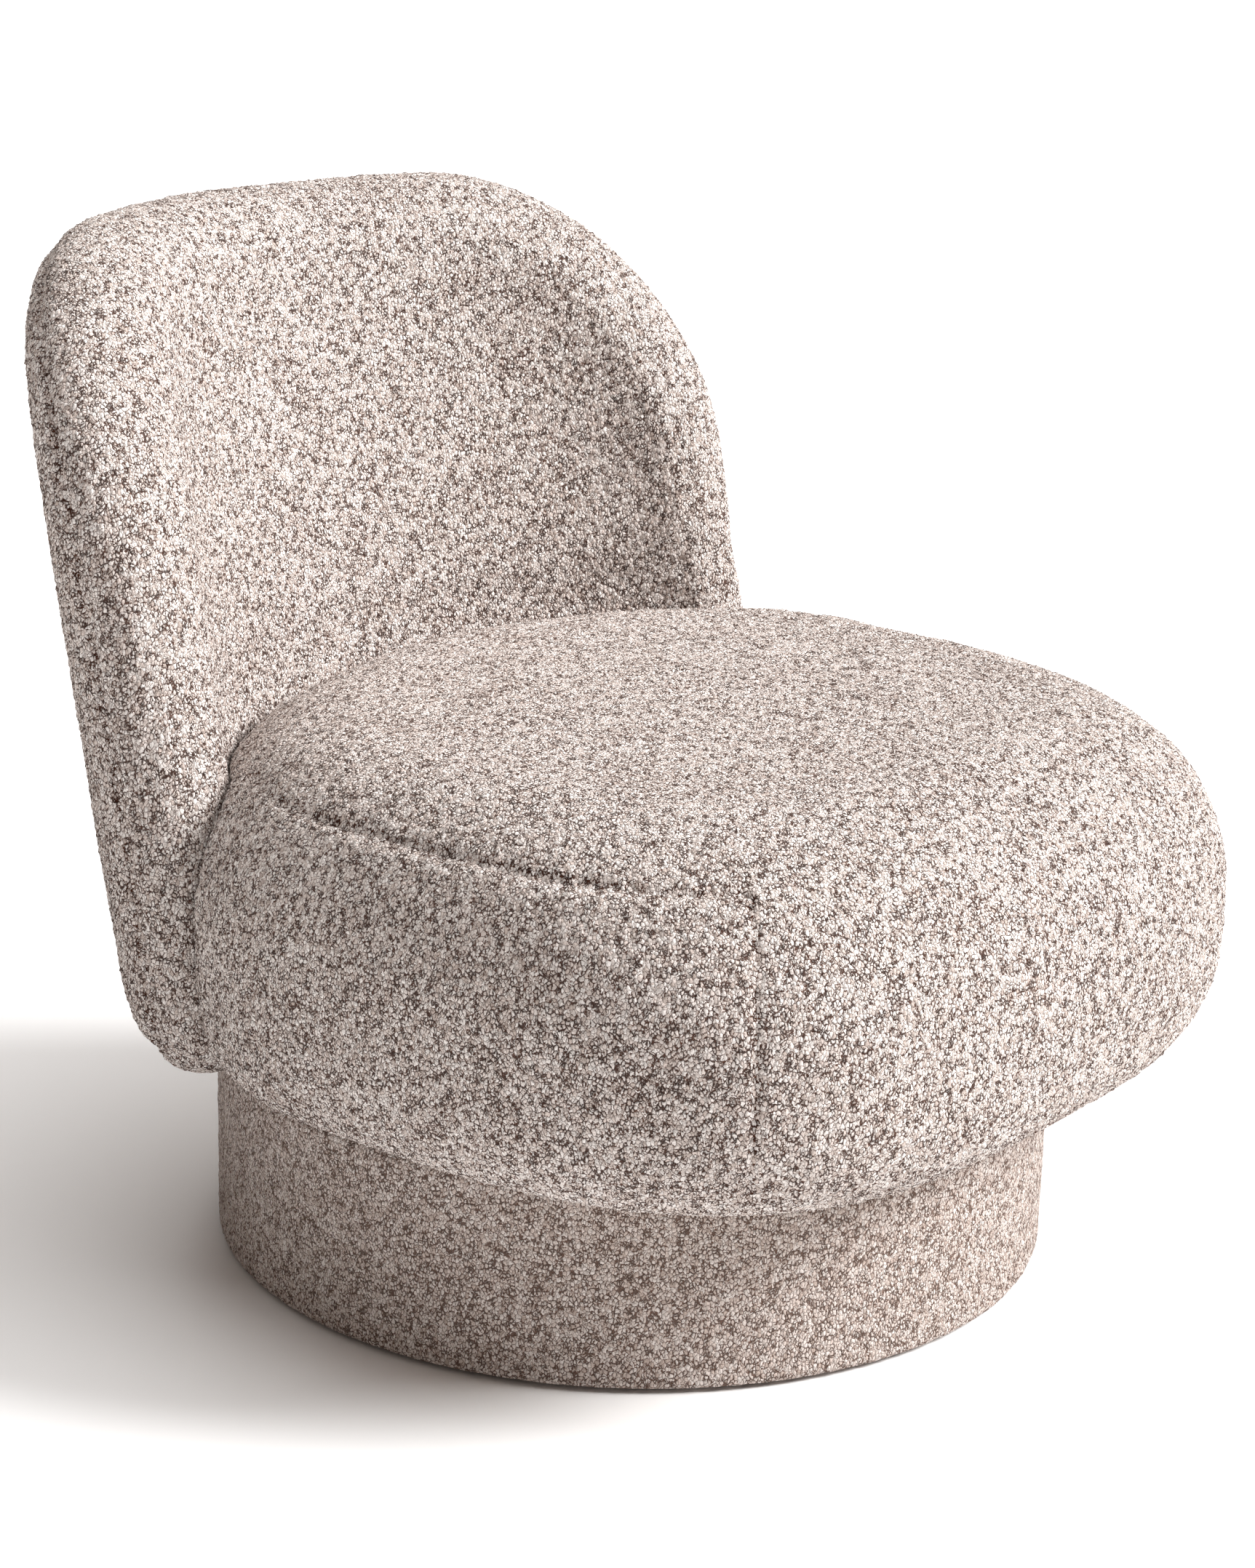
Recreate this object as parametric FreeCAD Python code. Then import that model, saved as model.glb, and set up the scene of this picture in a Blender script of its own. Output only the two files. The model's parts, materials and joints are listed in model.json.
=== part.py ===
import FreeCAD, Part
import math
import os

# Swivelling tub chair: a round covered plinth, a ball-bearing swivel, a pouf-like seat and a
# bent, leaning back. It faces -Y. All sizes are in millimetres. While it is built, the swivel
# axis is X = Y = 0; at the end everything moves so that the origin is on the floor under the
# middle of the whole chair.

Vector = FreeCAD.Vector

# Seat, measured from the swivel axis, over the cover
seat_half_width = 366.0
seat_front = 389.0
seat_rear = 297.0
seat_top = 409.0
seat_crown = 16.0
seat_front_radius = 1549.0
seat_side_radius = 1014.0
seat_rear_radius = 413.0
seat_front_corner = 239.0
seat_rear_corner = 250.0
seat_widest_y = -30.0
seat_top_edge = 108.0
seat_bottom_edge = 60.0

# Sewn panels of the seat cover
seat_seam_height = 378.0
seat_seam_corner_x = 268.0
seat_seam_corner_y = -301.0
seat_panel_inner_x = 160.0
seam_gap = 1.0
cover_thickness = 3.0
cover_turn_under = 40.0
soft_gap = 0.5

# Back: a padded slab bent round a leaning axis
back_top = 724.0
back_bend_radius = 395.0
back_half_angle = 56.0
back_thickness = 94.0
back_lumbar_crown = 16.0
back_lean = 12.2
back_foot_y = 280.0
back_top_corner = 254.0
back_bottom_corner = 60.0
back_rim_radius = 44.0
back_seam_depth = 14.0
seat_to_back_gap = 0.8

# Back frame
panel_thickness = 9.0
panel_rim_inset = 42.0
panel_bottom_inset = 18.0
panel_corner = 170.0
rib_width = 24.0
rib_height = 20.0
rib_half_angle = 34.0
post_width = 40.0
post_angle = 22.0

# Plinth
plinth_radius = 305.0
glide_thickness = 3.0
glide_radius = 12.0
glide_stem_radius = 2.5
glide_stem_length = 14.0
glide_ring_radius = 258.0
glide_count = 8
dust_cloth_thickness = 0.8
plinth_wadding = 5.0
plinth_wall_thickness = 4.0
plinth_board = 18.0
plinth_ring_width = 62.0
plinth_top_edge = 8.0
plinth_bottom_edge = 3.0
plinth_fold = 34.0
block_count = 8
block_depth = 32.0
block_width = 46.0
screw_radius = 2.5
screw_head_radius = 4.5
screw_head_height = 2.5
screw_length = 50.0

# Swivel bearing
swivel_gap = 6.0
plate_width = 300.0
plate_corner = 24.0
plate_thickness = 2.0
swivel_height = 11.0
ball_radius = 2.5
ball_count = 16
race_radius = 100.0
race_half_width = 8.0
race_gap = 2.6
race_clearance = 0.05
cage_thickness = 1.2
cage_half_width = 6.0
pivot_radius = 6.0
pivot_running_clearance = 0.05
pivot_fixed_clearance = 0.2
pivot_head_radius = 13.0
pivot_head_height = 5.0
thrust_washer_radius = 18.0
thrust_washer_thickness = 1.5
thrust_washer_gap = 0.05
nut_radius = 9.5
nut_height = 8.0
nut_washer_radius = 12.0
nut_washer_thickness = 1.6
lower_screw_spacing = 256.0
upper_bolt_spacing = 200.0
plate_bolt_radius = 3.0
plate_bolt_head_radius = 5.5
plate_bolt_head_height = 3.0
lower_screw_length = 15.0
tee_nut_radius = 9.0
tee_nut_thickness = 1.5
hole_clearance = 0.2

# Seat frame
seat_board = 18.0
board_inset = 64.0
rail_thickness = 22.0
rail_height = 80.0
rail_half_width = 235.0
rail_front = -262.0
rail_rear = 132.0
corner_block = 60.0
spring_count = 5
spring_pitch_x = 82.0
spring_wire = 3.8
spring_run = 22.0
spring_runs = 16
clip_width = 16.0
clip_height = 7.0
spring_pad_thickness = 3.0

# Brackets that tie the back to the seat
bracket_width = 40.0
bracket_thickness = 4.0
bracket_angle = 12.0
bracket_leg_height = 150.0
bracket_foot_length = 115.0
bracket_bolt_radius = 3.0
bracket_head_radius = 6.0
bracket_head_height = 3.0
bracket_screw_length = 14.0

# Worked out from the sizes above
seat_underside = 158.0
plinth_base = glide_thickness
plinth_top = seat_underside - swivel_gap
board_bottom = seat_underside + cover_thickness
board_top = board_bottom + seat_board
panel_top = board_bottom - swivel_height
race_middle = panel_top + swivel_height / 2
wall_outer = plinth_radius - cover_thickness - plinth_wadding
wall_inner = wall_outer - plinth_wall_thickness
ring_bottom = plinth_base + dust_cloth_thickness + cover_thickness
rail_top = board_top + rail_height
springs_top = rail_top + spring_wire
foam_floor = springs_top + spring_pad_thickness
lean_slope = math.tan(math.radians(back_lean))
back_bottom = seat_underside
mid_panel = panel_thickness / 2
spring_bend = (rail_rear - rail_front - rail_thickness) / (2 * (spring_runs - 1))


def box(x0, x1, y0, y1, z0, z1):
    return Part.makeBox(x1 - x0, y1 - y0, z1 - z0, Vector(x0, y0, z0))


def disc(radius, z0, z1, x=0.0, y=0.0):
    return Part.makeCylinder(radius, z1 - z0, Vector(x, y, z0))


def ring(inner, outer, z0, z1):
    return disc(outer, z0, z1).cut(disc(inner, z0 - 1, z1 + 1))


def turned(shape, degrees):
    copy = shape.copy()
    copy.rotate(Vector(0, 0, 0), Vector(0, 0, 1), degrees)
    return copy


def round_the_axis(shape, count, start=0.0):
    return [turned(shape, start + 360.0 * k / count) for k in range(count)]


def mirrored_x(shape):
    return shape.mirror(Vector(0, 0, 0), Vector(1, 0, 0))


def without(shape, tools):
    for tool in tools:
        shape = shape.cut(tool)
    return shape


def corners(spacing):
    half = spacing / 2
    return [(x, y) for x in (-half, half) for y in (-half, half)]


def on_circle(centre, radius, towards):
    return centre + (towards - centre).normalize() * radius


def corner_centre(end_centre, end_radius, side_centre, side_radius, corner, towards_front):
    """Centre of the corner arc that touches the end arc and the side arc from inside."""
    to_end = end_radius - corner
    to_side = side_radius - corner
    gap = side_centre - end_centre
    along = (to_end ** 2 - to_side ** 2 + gap.Length ** 2) / (2 * gap.Length)
    across = math.sqrt(to_end ** 2 - along ** 2)
    unit = gap * (1 / gap.Length)
    normal = Vector(-unit.y, unit.x, 0)
    foot = end_centre + unit * along
    sign = -1 if towards_front else 1
    return max((foot + normal * across, foot - normal * across), key=lambda p: p.x + sign * p.y)


def seat_outline(inset, z):
    """Plan of the seat: crowned front, sides and rear, joined by four tangent corner arcs."""
    half, front, rear = seat_half_width - inset, seat_front - inset, seat_rear - inset
    front_r, side_r, rear_r = (r - inset for r in (seat_front_radius, seat_side_radius, seat_rear_radius))
    front_corner, rear_corner = seat_front_corner - inset, seat_rear_corner - inset
    front_centre = Vector(0, front_r - front, 0)
    rear_centre = Vector(0, rear - rear_r, 0)
    side_centre = Vector(half - side_r, seat_widest_y, 0)
    fore = corner_centre(front_centre, front_r, side_centre, side_r, front_corner, True)
    aft = corner_centre(rear_centre, rear_r, side_centre, side_r, rear_corner, False)
    p1, p2 = on_circle(front_centre, front_r, fore), on_circle(side_centre, side_r, fore)
    p3, p4 = on_circle(side_centre, side_r, aft), on_circle(rear_centre, rear_r, aft)
    right = [
        (p1, on_circle(fore, front_corner, (p1 + p2) * 0.5), p2),
        (p2, on_circle(side_centre, side_r, (p2 + p3) * 0.5), p3),
        (p3, on_circle(aft, rear_corner, (p3 + p4) * 0.5), p4),
    ]

    def flip(p):
        return Vector(-p.x, p.y, 0)

    left = [(flip(c), flip(b), flip(a)) for a, b, c in reversed(right)]
    arcs = right + [(p4, Vector(0, rear, 0), flip(p4))] + left + [(flip(p1), Vector(0, -front, 0), p1)]
    wire = Part.Wire([Part.Arc(a, b, c).toShape() for a, b, c in arcs])
    wire.translate(Vector(0, 0, z))
    return wire


def seat_prism(inset, z0, z1):
    return Part.Face(seat_outline(inset, z0)).extrude(Vector(0, 0, z1 - z0))


def seat_form(inset):
    """The pouf: the plan pushed up, crowned by a large ball, with rounded top and bottom edges."""
    bottom, top = seat_underside + inset, seat_top - inset
    ball = (seat_half_width ** 2 + seat_crown ** 2) / (2 * seat_crown)
    solid = seat_prism(inset, bottom, top + 10).common(Part.makeSphere(ball, Vector(0, 0, top - ball)))
    upper = [e for e in solid.Edges if e.BoundBox.ZMin > top - seat_crown - 30]
    solid = solid.makeFillet(seat_top_edge - inset, upper)
    lower = [e for e in solid.Edges if e.BoundBox.ZMax < bottom + 0.01]
    return solid.makeFillet(seat_bottom_edge - inset, lower)


def arc_centre_y(z):
    """Y of the back's bending centre at height z: the axis leans back as it rises."""
    return back_foot_y - back_bend_radius + (z - back_bottom) * lean_slope


def bent_point(radius, angle, z):
    return Vector(radius * math.sin(angle), arc_centre_y(z) + radius * math.cos(angle), z)


def bent_solid(inner, outer, half_angle, z0, z1, front_crown=0.0, middle=0.0):
    """Slab between two arcs, pushed up along the lean. Angles are in radians from straight back."""
    low, high = middle - half_angle, middle + half_angle
    wire = Part.Wire([
        Part.Arc(bent_point(inner, low, z0), bent_point(inner - front_crown, middle, z0),
                 bent_point(inner, high, z0)).toShape(),
        Part.makeLine(bent_point(inner, high, z0), bent_point(outer, high, z0)),
        Part.Arc(bent_point(outer, high, z0), bent_point(outer, middle, z0),
                 bent_point(outer, low, z0)).toShape(),
        Part.makeLine(bent_point(outer, low, z0), bent_point(inner, low, z0)),
    ])
    return Part.Face(wire).extrude(Vector(0, lean_slope, 1) * (z1 - z0))


def round_slab_corners(slab, thickness, top_radius, bottom_radius):
    """Rounds the four corners that show from the front, through the whole thickness."""
    limit = slab.BoundBox

    def ends(shape, at_top):
        level = limit.ZMax if at_top else limit.ZMin
        short = [e for e in shape.Edges if e.BoundBox.ZLength < 0.01 and e.Curve.TypeId == "Part::GeomLine"]
        return [e for e in short if abs(e.BoundBox.ZMin - level) < 1.0 and abs(e.Length - thickness) < 1.0]

    slab = slab.makeFillet(top_radius, ends(slab, True))
    return slab.makeFillet(bottom_radius, ends(slab, False))


def broad_faces(slab):
    curved = [f for f in slab.Faces if f.Surface.TypeId == "Part::GeomSurfaceOfExtrusion"]
    return sorted(curved, key=lambda f: -f.Area)[:2]


def back_slab(skin, rim):
    """Bent slab, skin thinner on each face and rim smaller all round its edge."""
    thickness = back_thickness - 2 * skin
    inner, outer = back_bend_radius - thickness / 2, back_bend_radius + thickness / 2
    half = math.radians(back_half_angle) - rim / back_bend_radius
    slab = bent_solid(inner, outer, half, back_bottom + rim, back_top - rim, back_lumbar_crown)
    return round_slab_corners(slab, thickness, back_top_corner - rim, back_bottom_corner - rim)


def back_form(grow):
    """The whole padded back with its rounded rim, grown by a clearance."""
    slab = back_slab(-grow, -grow)
    rims = [e for f in broad_faces(slab) for e in f.Edges]
    return slab.makeFillet(back_rim_radius + grow, rims)


def back_core(inset):
    """Foam block inside the back's covers, with bevelled rims."""
    slab = back_slab(inset + 1.0, inset)
    rims = [e for f in broad_faces(slab) for e in f.Edges]
    return slab.makeChamfer(back_rim_radius * 0.68, rims)


def glides():
    foot = disc(glide_radius, 0, glide_thickness, glide_ring_radius)
    stem = disc(glide_stem_radius, glide_thickness, glide_thickness + glide_stem_length, glide_ring_radius)
    return Part.makeCompound(round_the_axis(foot.fuse(stem), glide_count))


def glide_holes():
    hole = disc(glide_stem_radius + hole_clearance, -1, glide_thickness + glide_stem_length + 1, glide_ring_radius)
    return round_the_axis(hole, glide_count)


def plinth_screw_places():
    """One screw up through the ring and one down through the top panel, into each block."""
    return wall_inner - block_depth / 2


def plinth_screw(grow):
    """Countersunk screw with its head down, at the foot of a block."""
    x = plinth_screw_places()
    head = Part.makeCone(screw_head_radius + grow, screw_radius + grow, screw_head_height,
                         Vector(x, 0, ring_bottom))
    return head.fuse(disc(screw_radius + grow, ring_bottom, ring_bottom + screw_length, x))


def upturned(shape, z):
    return shape.mirror(Vector(0, 0, z), Vector(0, 0, 1))


def plinth_screws(grow):
    middle = (ring_bottom + panel_top) / 2
    low = plinth_screw(grow)
    step = 180.0 / block_count
    return round_the_axis(low, block_count, step) + round_the_axis(upturned(low, middle), block_count, step)


def plinth_blocks():
    top = panel_top - plinth_board
    block = box(wall_inner - block_depth, wall_inner + 5, -block_width / 2, block_width / 2,
                ring_bottom + plinth_board, top)
    block = block.common(disc(wall_inner, ring_bottom, top))
    return round_the_axis(block, block_count, 180.0 / block_count)


def bevelled_disc(radius, z0, z1, bevel_low, bevel_high):
    """Disc with a bevel at the foot and at the head."""
    body = disc(radius, z0, z1)
    head = [e for e in body.Edges if e.BoundBox.ZMin > z1 - 0.01]
    foot = [e for e in body.Edges if e.BoundBox.ZMax < z0 + 0.01]
    if bevel_high:
        body = body.makeChamfer(bevel_high, head)
        foot = [e for e in body.Edges if e.BoundBox.ZMax < z0 + 0.01]
    return body.makeChamfer(bevel_low, foot) if bevel_low else body


def plinth_cover():
    """Fabric sleeve, folded over the top panel and under the ring."""
    sleeve = bevelled_disc(plinth_radius, plinth_base + dust_cloth_thickness, plinth_top,
                           plinth_bottom_edge, plinth_top_edge)
    hollow = bevelled_disc(plinth_radius - cover_thickness, ring_bottom, panel_top, 0,
                           plinth_top_edge - cover_thickness)
    mouth = disc(plinth_radius - plinth_fold, plinth_base, plinth_top + 1)
    return without(sleeve, [hollow, mouth])


def plinth_wadding_sleeve():
    outer = plinth_radius - cover_thickness - soft_gap
    low, high = ring_bottom + soft_gap, panel_top - soft_gap
    sleeve = bevelled_disc(outer, low, high, 0, plinth_wadding - soft_gap - 0.2)
    return sleeve.cut(disc(wall_outer, low - 1, high + 1))


def swivel_plate(z0):
    """Square steel plate with rounded corners."""
    half = plate_width / 2
    plate = box(-half, half, -half, half, z0, z0 + plate_thickness)
    upright = [e for e in plate.Edges if e.BoundBox.ZLength > plate_thickness - 0.01]
    return plate.makeFillet(plate_corner, upright)


def race_ring(z0, z1):
    """Raised race with a groove that the balls run in."""
    body = ring(race_radius - race_half_width, race_radius + race_half_width, z0, z1)
    groove = Part.makeTorus(race_radius, ball_radius + race_clearance, Vector(0, 0, race_middle))
    return body.cut(groove)


def swivel_lower_plate():
    race_top = race_middle - race_gap / 2
    plate = swivel_plate(panel_top).fuse(race_ring(panel_top + plate_thickness, race_top))
    holes = [disc(pivot_radius + pivot_fixed_clearance, panel_top - 1, board_bottom)]
    holes += [disc(plate_bolt_radius + hole_clearance, panel_top - 1, race_middle, x, y)
              for x, y in corners(lower_screw_spacing)]
    return without(plate.removeSplitter(), holes)


def swivel_upper_plate():
    race_bottom = race_middle + race_gap / 2
    plate_low = board_bottom - plate_thickness
    plate = swivel_plate(plate_low).fuse(race_ring(race_bottom, plate_low))
    holes = [disc(pivot_radius + pivot_running_clearance, race_middle, board_bottom + 1)]
    holes += [disc(plate_bolt_radius + hole_clearance, race_middle, board_bottom + 1, x, y)
              for x, y in corners(upper_bolt_spacing)]
    return without(plate.removeSplitter(), holes)


def ball_places():
    return [2 * math.pi * k / ball_count for k in range(ball_count)]


def swivel_balls():
    return [Part.makeSphere(ball_radius, Vector(race_radius * math.cos(a), race_radius * math.sin(a), race_middle))
            for a in ball_places()]


def ball_cage():
    half = cage_thickness / 2
    cage = ring(race_radius - cage_half_width, race_radius + cage_half_width, race_middle - half, race_middle + half)
    pockets = [disc(ball_radius + race_clearance, race_middle - half - 1, race_middle + half + 1,
                    race_radius * math.cos(a), race_radius * math.sin(a)) for a in ball_places()]
    return without(cage, pockets)


def screws_down(places, seat_z, length):
    """Pan-head screws whose heads stand on the level seat_z."""
    return [disc(plate_bolt_head_radius, seat_z, seat_z + plate_bolt_head_height, x, y).fuse(
        disc(plate_bolt_radius, seat_z - length, seat_z, x, y)) for x, y in places]


def pivot_bolt():
    head_low = board_bottom + thrust_washer_gap + thrust_washer_thickness
    shank_low = panel_top - plinth_board - nut_washer_thickness - nut_height - 2
    head = bevelled_disc(pivot_head_radius, head_low, head_low + pivot_head_height, 0, pivot_head_height * 0.4)
    return head.fuse(disc(pivot_radius, shank_low, head_low))


def pivot_thrust_washer():
    low = board_bottom + thrust_washer_gap
    return ring(pivot_radius + pivot_fixed_clearance, thrust_washer_radius, low, low + thrust_washer_thickness)


def hexagon(across, z0, z1):
    points = [Vector(across * math.cos(math.radians(60 * k)), across * math.sin(math.radians(60 * k)), z0)
              for k in range(7)]
    return Part.Face(Part.makePolygon(points)).extrude(Vector(0, 0, z1 - z0))


def pivot_nut():
    washer_top = panel_top - plinth_board
    washer_low = washer_top - nut_washer_thickness
    washer = ring(pivot_radius, nut_washer_radius, washer_low, washer_top)
    nut = hexagon(nut_radius, washer_low - nut_height, washer_low)
    return washer.fuse(nut.cut(disc(pivot_radius, washer_low - nut_height - 1, washer_low + 1)))


def pivot_well():
    """Room in the seat board for the pivot's head and washer."""
    return disc(thrust_washer_radius + 4, board_bottom - 1, board_top + 1)


def seat_board_panel():
    slope_clearance = back_form(seat_to_back_gap + cover_thickness + soft_gap)
    panel = seat_prism(board_inset, board_bottom, board_top).cut(slope_clearance)
    holes = [disc(plate_bolt_radius + hole_clearance, board_bottom - 1, board_top + 1, x, y)
             for x, y in corners(upper_bolt_spacing)]
    return without(panel, holes + [pivot_well()] + [hole for hole in bracket_screw_holes()])


def seat_rails():
    """Front, rear, left and right rail of the seat's wooden frame, butted at the corners."""
    out, thick = rail_half_width, rail_thickness
    front = box(-out, out, rail_front, rail_front + thick, board_top, rail_top)
    rear = box(-out, out, rail_rear - thick, rail_rear, board_top, rail_top)
    right = box(out - thick, out, rail_front + thick, rail_rear - thick, board_top, rail_top)
    return front, rear, mirrored_x(right), right


def corner_blocks():
    """Triangular blocks glued into the corners of the frame."""
    side = rail_half_width - rail_thickness
    front, rear = rail_front + rail_thickness, rail_rear - rail_thickness
    blocks = []
    for y, step in ((front, 1), (rear, -1)):
        points = [Vector(side, y, board_top), Vector(side - corner_block, y, board_top),
                  Vector(side, y + step * corner_block, board_top), Vector(side, y, board_top)]
        block = Part.Face(Part.makePolygon(points)).extrude(Vector(0, 0, rail_height))
        blocks += [block, mirrored_x(block)]
    return blocks


def spring_start_y():
    return rail_front + rail_thickness / 2


def sinuous_spring(x):
    """One zigzag spring: straight runs across, joined by half-turn bends, of square wire."""
    half, pitch = spring_wire / 2, 2 * spring_bend
    pieces = []
    for k in range(spring_runs):
        y = spring_start_y() + k * pitch
        pieces.append(box(x - spring_run / 2, x + spring_run / 2, y - half, y + half, rail_top, springs_top))
        if k < spring_runs - 1:
            side = 1 if k % 2 else -1
            centre_x, centre_y = x + side * spring_run / 2, y + spring_bend
            bend = disc(spring_bend + half, rail_top, springs_top, centre_x, centre_y)
            bend = bend.cut(disc(spring_bend - half, rail_top - 1, springs_top + 1, centre_x, centre_y))
            reach = spring_bend + half + 1
            keep_low, keep_high = (centre_x, centre_x + reach) if side > 0 else (centre_x - reach, centre_x)
            pieces.append(bend.common(box(keep_low, keep_high, centre_y - reach, centre_y + reach,
                                          rail_top, springs_top)))
    return pieces[0].fuse(pieces[1:]).removeSplitter()


def spring_columns():
    first = -(spring_count - 1) / 2
    return [(first + k) * spring_pitch_x for k in range(spring_count)]


def spring_ends_y():
    first = spring_start_y()
    return first, first + (spring_runs - 1) * 2 * spring_bend


def spring_clips():
    """Stamped clips nailed to the rails, each over the last run of a spring."""
    clips = []
    for x in spring_columns():
        for y in spring_ends_y():
            clip = box(x - clip_width / 2, x + clip_width / 2, y - clip_height, y + clip_height,
                       rail_top, springs_top + 1.2)
            tunnel = box(x - clip_width, x + clip_width, y - spring_wire / 2, y + spring_wire / 2,
                         rail_top - 1, springs_top)
            clips.append(clip.cut(tunnel))
    return clips


def spring_pad():
    """Felt sheet over the springs, notched round the clips."""
    edge = 2.0
    sheet = box(-rail_half_width + edge, rail_half_width - edge, rail_front + edge, rail_rear - edge,
                springs_top, foam_floor)
    notches = []
    for x in spring_columns():
        for y in spring_ends_y():
            notches.append(box(x - clip_width / 2 - 1, x + clip_width / 2 + 1, y - clip_height - 1,
                               y + clip_height + 1, springs_top - 1, foam_floor + 1))
    return without(sheet, notches)


def seat_foam():
    """Foam block cut flat on top, with a pocket for the frame and springs."""
    block = seat_form(cover_thickness + soft_gap)
    block = block.cut(back_form(seat_to_back_gap + cover_thickness + soft_gap))
    pocket = box(-rail_half_width - soft_gap, rail_half_width + soft_gap, rail_front - soft_gap,
                 rail_rear + soft_gap, board_top - 1, foam_floor)
    board_room = seat_prism(board_inset - soft_gap, board_bottom - 10, board_top)
    feet = [bracket_foot(side, soft_gap) for side in (-1, 1)]
    return without(block, [pocket, board_room] + feet + bracket_screws(soft_gap))


def side_panel_zone(side, grow):
    """Region of one side panel: below the top seam and behind the corner seam."""
    x, y = seat_seam_corner_x, seat_seam_corner_y - grow * math.sqrt(2)
    inner, far = seat_panel_inner_x, 600.0
    inward = x - inner
    points = [Vector(side * inner, y + inward, 0), Vector(side * far, y - (far - x), 0),
              Vector(side * far, far, 0), Vector(side * inner, far, 0), Vector(side * inner, y + inward, 0)]
    face = Part.Face(Part.makePolygon(points))
    return face.extrude(Vector(0, 0, seat_seam_height + grow))


def seat_covers():
    """Waterfall top-and-front panel and two side panels, with their quilted wadding."""
    outside = seat_form(0).cut(back_form(seat_to_back_gap))
    hollow = seat_form(cover_thickness).cut(back_form(seat_to_back_gap + cover_thickness))
    mouth = seat_prism(board_inset + cover_turn_under, seat_underside - 1, board_bottom + 1)
    feet = [bracket_foot(side, soft_gap) for side in (-1, 1)]
    skin = without(outside, [hollow, mouth] + feet)
    left, right = skin.common(side_panel_zone(-1, 0)), skin.common(side_panel_zone(1, 0))
    top = without(skin, [side_panel_zone(side, seam_gap) for side in (-1, 1)])
    return top, left, right


def seat_dust_cloth():
    """Thin black cloth that closes the seat's underside round the swivel plate."""
    low = seat_underside - dust_cloth_thickness
    cloth = seat_prism(board_inset + cover_turn_under - 24, low, seat_underside)
    cloth = cloth.cut(back_form(seat_to_back_gap + 8))
    return cloth.cut(disc(plate_width * 0.72, low - 1, seat_underside + 1))


def sideways(shape, angle, radius, z):
    """Turns a shape modelled straight behind the bend centre to its place on the arc."""
    copy = shape.copy()
    copy.rotate(Vector(0, arc_centre_y(z), 0), Vector(0, 0, 1), -angle)
    return copy


def bracket_radius():
    """Distance of a leg's rear face from the bend centre: its edges just clear the curved panel."""
    edge = back_bend_radius - mid_panel - hole_clearance
    return math.sqrt(edge ** 2 - (bracket_width / 2) ** 2)


def bracket_foot(side, grow):
    """Flat leg on the seat board, pointing at the back's bending centre."""
    half = bracket_width / 2 + grow
    outer = arc_centre_y(board_top) + bracket_radius()
    foot = box(-half, half, outer - bracket_foot_length, outer, board_top - grow, board_top + bracket_thickness + grow)
    return sideways(foot, side * bracket_angle, bracket_radius(), board_top)


def bracket_leg(side, grow):
    """Upright leg that follows the lean of the bent panel."""
    half = bracket_width / 2 + grow
    outer = arc_centre_y(board_top) + bracket_radius() + grow
    face = Part.Face(Part.makePolygon([
        Vector(-half, outer - bracket_thickness - 2 * grow, board_top), Vector(half, outer - bracket_thickness - 2 * grow, board_top),
        Vector(half, outer, board_top), Vector(-half, outer, board_top),
        Vector(-half, outer - bracket_thickness - 2 * grow, board_top)]))
    face = sideways(face, side * bracket_angle, bracket_radius(), board_top)
    return face.extrude(Vector(0, lean_slope, 1) * (bracket_leg_height + grow))


def bracket_screw_points():
    """Screws of each foot, as distances in from the leg along the foot."""
    return [bracket_foot_length * share for share in (0.62, 0.85)]


def bracket_screws(grow):
    screws = []
    for side in (-1, 1):
        for inward in bracket_screw_points():
            y = arc_centre_y(board_top) + bracket_radius() - inward
            low = board_top + bracket_thickness
            screw = disc(bracket_head_radius + grow, low, low + bracket_head_height + grow, 0, y).fuse(
                disc(bracket_bolt_radius + grow, low - bracket_screw_length, low, 0, y))
            screws.append(sideways(screw, side * bracket_angle, 0, board_top))
    return screws


def bracket_screw_holes():
    holes = []
    for side in (-1, 1):
        for inward in bracket_screw_points():
            y = arc_centre_y(board_top) + bracket_radius() - inward
            hole = disc(bracket_bolt_radius + hole_clearance, board_bottom + 2, board_top + bracket_thickness + 1, 0, y)
            holes.append(sideways(hole, side * bracket_angle, 0, board_top))
    return holes


def leg_bolt_heights():
    return [board_top + bracket_leg_height * share for share in (0.45, 0.85)]


def leg_bolts(grow):
    """Bolts through each upright leg and the bent panel, heads in front."""
    bolts = []
    for side in (-1, 1):
        angle = side * math.radians(bracket_angle)
        outward = Vector(math.sin(angle), math.cos(angle), 0)
        for z in leg_bolt_heights():
            front = bent_point(bracket_radius() - bracket_thickness, angle, z)
            length = bracket_thickness + panel_thickness + 2 * hole_clearance
            shank = Part.makeCylinder(bracket_bolt_radius + grow, length + grow, front, outward)
            head = Part.makeCylinder(bracket_head_radius + grow, bracket_head_height + grow,
                                     front - outward * (bracket_head_height + grow), outward)
            bolts.append(shank.fuse(head))
    return bolts


def back_brackets():
    holes = bracket_screw_holes() + leg_bolts(hole_clearance)
    return [without(bracket_foot(side, 0).fuse(bracket_leg(side, 0)).removeSplitter(), holes) for side in (-1, 1)]


def back_panel():
    """Bent plywood shell in the middle of the back."""
    half = math.radians(back_half_angle) - panel_rim_inset / back_bend_radius
    panel = bent_solid(back_bend_radius - mid_panel, back_bend_radius + mid_panel, half,
                       back_bottom + panel_bottom_inset, back_top - panel_rim_inset)
    panel = round_slab_corners(panel, panel_thickness, panel_corner, panel_bottom_inset)
    return without(panel, leg_bolts(hole_clearance))


def rib(z, grow):
    """Curved wooden rib behind the bent panel."""
    inner = back_bend_radius + mid_panel + hole_clearance - grow
    return bent_solid(inner, inner + rib_width + 2 * grow, math.radians(rib_half_angle) + grow / back_bend_radius,
                      z - grow, z + rib_height + grow)


def rib_levels():
    return back_bottom + panel_bottom_inset + 12, back_top - panel_rim_inset - 70


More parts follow.
